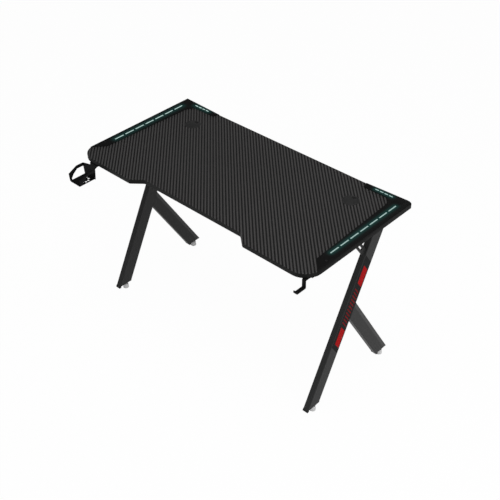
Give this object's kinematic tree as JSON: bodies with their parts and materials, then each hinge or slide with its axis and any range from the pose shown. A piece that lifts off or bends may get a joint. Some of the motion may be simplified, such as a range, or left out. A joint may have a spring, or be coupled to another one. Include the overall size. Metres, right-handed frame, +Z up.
{
  "type": "gaming desk",
  "caption": "Desk with a carbon-look top and a shallow front bay, lit corner trims, leaning steel leg frames on levelling feet, cable grommets, a cup holder and a headset hook.",
  "frame": {"origin": "on the floor, under the centre of the whole part's box with the cup holder counted in", "axes": "+X towards the sitter's right, +Y away from the sitter to the rear, +Z up"},
  "size_m": [1.2, 0.678, 0.7534],
  "materials": {
    "carbon_board": "fibreboard in a satin film with a carbon-look weave of slanted stripes",
    "trim_plastic": "moulded, fine matt grain",
    "light_diffuser": "milky, lit aqua",
    "light_tape": "white flexible tape",
    "frame_steel": "black powder coat, satin",
    "plug_plastic": "moulded, matt",
    "foot_plastic": "moulded, light grey",
    "grommet_plastic": "moulded, fine matt grain",
    "accessory_steel": "black powder coat",
    "controller_plastic": "moulded, matt",
    "circuit_board": "green resist",
    "inlet_plastic": "gloss, black",
    "fastener_steel": "black oxide"
  },
  "bodies": {
    "desk": {"board_screws": "fastener_steel", "controller_case": "controller_plastic", "controller_circuit": "circuit_board", "controller_cover": "controller_plastic", "controller_screws": "fastener_steel", "crossbar_bolts": "fastener_steel", "crossbar_nuts": "fastener_steel", "cup_holder": "accessory_steel", "cup_holder_screws": "fastener_steel", "desktop_board": "carbon_board", "front_crossbar": "frame_steel", "headset_hook": "accessory_steel", "hook_screws": "fastener_steel", "left_front_leg": "frame_steel", "left_front_plug": "plug_plastic", "left_grommet_liner": "grommet_plastic", "left_knee_brace": "frame_steel", "left_led_diffuser": "light_diffuser", "left_led_tape": "light_tape", "left_led_trim": "trim_plastic", "left_rear_plug": "plug_plastic", "left_rear_strut": "frame_steel", "left_top_rail": "frame_steel", "power_inlet": "inlet_plastic", "rear_crossbar": "frame_steel", "right_front_leg": "frame_steel", "right_front_plug": "plug_plastic", "right_grommet_liner": "grommet_plastic", "right_knee_brace": "frame_steel", "right_led_diffuser": "light_diffuser", "right_led_tape": "light_tape", "right_led_trim": "trim_plastic", "right_rear_plug": "plug_plastic", "right_rear_strut": "frame_steel", "right_top_rail": "frame_steel", "trim_screws": "fastener_steel"},
    "left_front_foot": {"left_front_foot": "foot_plastic"},
    "right_front_foot": {"right_front_foot": "foot_plastic"},
    "left_rear_foot": {"left_rear_foot": "foot_plastic"},
    "right_rear_foot": {"right_rear_foot": "foot_plastic"},
    "left_grommet_lid": {"left_grommet_lid": "grommet_plastic"},
    "right_grommet_lid": {"right_grommet_lid": "grommet_plastic"},
    "mode_button": {"mode_button": "controller_plastic"}
  },
  "joints": [
    {"name": "left_front_foot_height", "type": "slide", "parent": "desk", "child": "left_front_foot", "axis": [0, 0, 1], "range_m": [-0.012, 0.006]},
    {"name": "left_rear_foot_height", "type": "slide", "parent": "desk", "child": "left_rear_foot", "axis": [0, 0, 1], "range_m": [-0.012, 0.006]},
    {"name": "right_front_foot_height", "type": "slide", "parent": "desk", "child": "right_front_foot", "axis": [0, 0, 1], "range_m": [-0.012, 0.006]},
    {"name": "right_rear_foot_height", "type": "slide", "parent": "desk", "child": "right_rear_foot", "axis": [0, 0, 1], "range_m": [-0.012, 0.006]},
    {"name": "left_grommet_turn", "type": "hinge", "parent": "desk", "child": "left_grommet_lid", "pos_m": [-0.42, 0.197, 0.7497], "axis": [0, 0, 1], "continuous": true},
    {"name": "right_grommet_turn", "type": "hinge", "parent": "desk", "child": "right_grommet_lid", "pos_m": [0.42, 0.197, 0.7497], "axis": [0, 0, 1], "continuous": true},
    {"name": "mode_button_press", "type": "slide", "parent": "desk", "child": "mode_button", "axis": [0, 1, 0], "range_m": [0, 0.0015], "stiffness_N_per_m": 500, "springref_m": -0.001}
  ]
}
